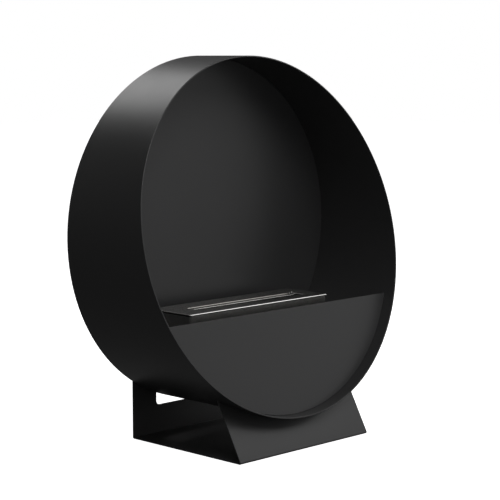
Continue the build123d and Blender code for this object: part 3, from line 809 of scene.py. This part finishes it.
# black bead in the gap between the back panel's edge and the drum's wall, which keeps the gap dark
panelLow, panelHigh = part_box("back_panel")
panelMiddle = Matrix.Translation((0, (panelLow.y + panelHigh.y) / 2, drumAxis.z))
whole = bmesh.new()
gapRadius = ((panelHigh.x - panelLow.x) / 2 + wallRadius) / 2
addPart(whole, gapShadeRing(gapShadeBead, gapRadius), panelMiddle @ Matrix.Rotation(math.pi / 2, 4, "X"))
finishPiece("panel_gap_shade_bead", whole, "frame", "rubber_pad", sharpAngle=80)
print("back panel sealed")

woolBlanket = {
    "layers": 4,
    "cells": (96, 26),
    "steps": 3,  # rows of faces up the side of a layer
    "seam": 0.0005,  # between two layers
    "corner": 0.005,
    "softEdge": 0.0022,
    "sideRelief": 0.0012,
    "topRelief": 0.0007,
    "softShare": 3,  # soft edges' width, against their drop
    "lumpScale": 90,
    "layerShift": 7.3,  # between the lumps of two layers
    "lumpDecay": 0.7,
    "lumpStep": 2.1,
    "lumpOctaves": 4,
    "atSide": 0.0001,  # nearer than this to the outline, a point is on the side
    "atFace": 0.99,  # past this share of the half height, a point is on the top or the underside
    "fill": 0.9,
}


def woolLayer(values, low, high, layer):
    # one sheet of spun fibre: crowned, with torn soft edges, inside its share of the space
    mesh = bmesh.new()
    across, deep = values["cells"]
    bmesh.ops.create_grid(mesh, x_segments=across, y_segments=deep, size=0.5)
    sheet = mesh.faces[:]
    for step in range(values["steps"]):
        grown = bmesh.ops.extrude_face_region(mesh, geom=sheet, use_keep_orig=step == 0)["geom"]
        lifted = [item for item in grown if isinstance(item, bmesh.types.BMVert)]
        sheet = [item for item in grown if isinstance(item, bmesh.types.BMFace)]
        bmesh.ops.translate(mesh, verts=lifted, vec=(0, 0, 1 / values["steps"]))
    half = (high - low) / 2
    middle = (high + low) / 2
    for point in mesh.verts:
        x, y, z = point.co.x * 2 * half.x, point.co.y * 2 * half.y, (point.co.z - 0.5) * 2 * half.z
        fromEnd, fromSide = half.x - abs(x), half.y - abs(y)
        overCorner = Vector((max(0, values["corner"] - fromEnd), max(0, values["corner"] - fromSide)))
        pull = max(0, overCorner.length - values["corner"])
        if pull > 0:
            x -= math.copysign(pull * overCorner.x / overCorner.length, x)
            y -= math.copysign(pull * overCorner.y / overCorner.length, y)
        edge = min(fromEnd, fromSide)
        droop = max(0, 1 - edge / (values["softShare"] * values["softEdge"])) ** 2 * values["softEdge"]
        place = Vector((x, y, z)) * values["lumpScale"] + Vector((layer * values["layerShift"], 0, 0))
        lump = noise.fractal(place, values["lumpDecay"], values["lumpStep"], values["lumpOctaves"])
        lump = min(1, max(0, 0.5 + 0.5 * lump))
        if edge < values["atSide"]:
            shrink = values["sideRelief"] * lump
            x -= math.copysign(shrink, x) if fromEnd < values["atSide"] else 0
            y -= math.copysign(shrink, y) if fromSide < values["atSide"] else 0
        onFace = abs(z) > half.z * values["atFace"]
        height = min(abs(z), half.z - droop) if onFace else abs(z) * (1 - droop / half.z)
        height -= values["topRelief"] * lump * (abs(z) / half.z)
        point.co = (middle.x + x, middle.y + y, middle.z + math.copysign(height, z))
    return mesh


low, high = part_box("fuel_wool")
whole = bmesh.new()
layerHeight = (high.z - low.z) / woolBlanket["layers"]
for layer in range(woolBlanket["layers"]):
    bottom = Vector((low.x, low.y, low.z + layer * layerHeight + woolBlanket["seam"] / 2))
    top = Vector((high.x, high.y, low.z + (layer + 1) * layerHeight - woolBlanket["seam"] / 2))
    addPart(whole, woolLayer(woolBlanket, bottom, top, layer), Matrix())
blanket = finishPiece("wool_blanket", whole, "burner", "ceramic_wool", sharpAngle=70)
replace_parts(blanket, "fuel_wool")
print("wool layered")

studio = {
    "floorHalf": 14.0,
    "floorTone": (0.90, 0.90, 0.90, 1),
    "floorRoughness": 0.9,
    "floorGlow": 1.1,  # the floor is as white as the backdrop
    "backdrop": 1.0,
    "roomFront": 0.15,
    "roomBack": 0.06,
    "roomAim": (0.35, -0.94, 0.0),  # towards the brighter side of the room
    "lamps": {  # one that doesn't show leaves no reflection in the metal
        "rearOverhead": {"at": (0.47, 2.74, 3.0), "to": (-0.2, 0.1, 0.85), "size": (1.65, 1.8),
                         "radiance": 2.82},
        "frontRight": {"at": (2.9, -2.9, 0.58), "to": (0, 0, 0.4), "size": (3.2, 1.9), "radiance": 0.41},
        "highRight": {"at": (2.9, -1.7, 2.6), "to": (0, 0, 0.4), "size": (2.6, 1.8), "radiance": 1.5},
        "frontOverhead": {"at": (-0.5, -2.4, 3.0), "to": (0, 0, 0.5), "size": (2.8, 1.4), "radiance": 4.4},
        "frontFill": {"at": (-0.9, -3.5, 0.5), "to": (0, 0, 0.6), "size": (2.6, 1.6), "radiance": 1.0,
                      "shows": False},
        "sideFill": {"at": (4.0, -1.3, 0.7), "to": (-0.37, 0, 0.4), "size": (1.2, 1.6), "radiance": 6.0,
                     "shows": False},
        "rearFill": {"at": (0.1, 3.8, 1.0), "to": (0, 0, 0.45), "size": (2.4, 1.6), "radiance": 1.3},
    },
}


def addFloor(values):
    mesh = bmesh.new()
    bmesh.ops.create_grid(mesh, x_segments=1, y_segments=1, size=values["floorHalf"])
    data = bpy.data.meshes.new("studioFloor")
    mesh.to_mesh(data)
    mesh.free()
    floor = bpy.data.objects.new("studioFloor", data)
    bpy.context.scene.collection.objects.link(floor)
    material, _, shader, _ = startMaterial("studioFloor")
    shader.inputs["Base Color"].default_value = values["floorTone"]
    shader.inputs["Roughness"].default_value = values["floorRoughness"]
    shader.inputs["Emission Color"].default_value = (1, 1, 1, 1)
    shader.inputs["Emission Strength"].default_value = values["floorGlow"]
    data.materials.append(material)
    floor.visible_glossy = False
    floor.visible_diffuse = False


def addLamp(name, values):
    width, height = values["size"]
    light = bpy.data.lights.new(name, "AREA")
    light.shape = "RECTANGLE"
    light.size = width
    light.size_y = height
    light.energy = values["radiance"] * math.pi * width * height  # an even panel of that radiance
    lamp = bpy.data.objects.new(name, light)
    bpy.context.scene.collection.objects.link(lamp)
    lamp.location = values["at"]
    aim = Vector(values["to"]) - Vector(values["at"])
    lamp.rotation_euler = aim.to_track_quat("-Z", "Y").to_euler()
    lamp.visible_glossy = values.get("shows", True)


def addBackdrop(values):
    # white where the camera looks, dim and uneven where it lights the object
    world = bpy.data.worlds.new("whiteStudio")
    bpy.context.scene.world = world
    world.use_nodes = True
    tree = world.node_tree
    background = tree.nodes["Background"]
    background.inputs["Color"].default_value = (1, 1, 1, 1)
    rays = tree.nodes.new("ShaderNodeLightPath")
    around = tree.nodes.new("ShaderNodeTexCoord")
    facing = addNode(tree, "ShaderNodeVectorMath", {"operation": "DOT_PRODUCT"})
    tree.links.new(around.outputs["Generated"], facing.inputs[0])
    facing.inputs[1].default_value = values["roomAim"]
    spread = (values["roomFront"] - values["roomBack"]) / 2
    room = addMath(tree, "MULTIPLY_ADD", facing.outputs["Value"], spread)
    room.node.inputs[2].default_value = values["roomBack"] + spread
    missing = addMath(tree, "SUBTRACT", values["backdrop"], room)
    seen = addMath(tree, "MULTIPLY", rays.outputs["Is Camera Ray"], missing)
    strength = addMath(tree, "ADD", seen, room)
    tree.links.new(strength, background.inputs["Strength"])


addFloor(studio)
addBackdrop(studio)
for name, values in studio["lamps"].items():
    addLamp(name, values)
bpy.context.scene.view_settings.view_transform = "Standard"
print("studio set")

view = {
    "at": (-2.622, -2.606, 0.8787),
    "turn": (83.15, 0.09, -45.19),  # degrees
    "lens": 117.58,
    "sensor": 36.0,
}
camera = bpy.data.objects.new("photoCamera", bpy.data.cameras.new("photoCamera"))
bpy.context.scene.collection.objects.link(camera)
camera.location = view["at"]
camera.rotation_euler = [math.radians(a) for a in view["turn"]]
camera.data.lens = view["lens"]
camera.data.sensor_width = view["sensor"]
bpy.context.scene.camera = camera
print("camera placed")
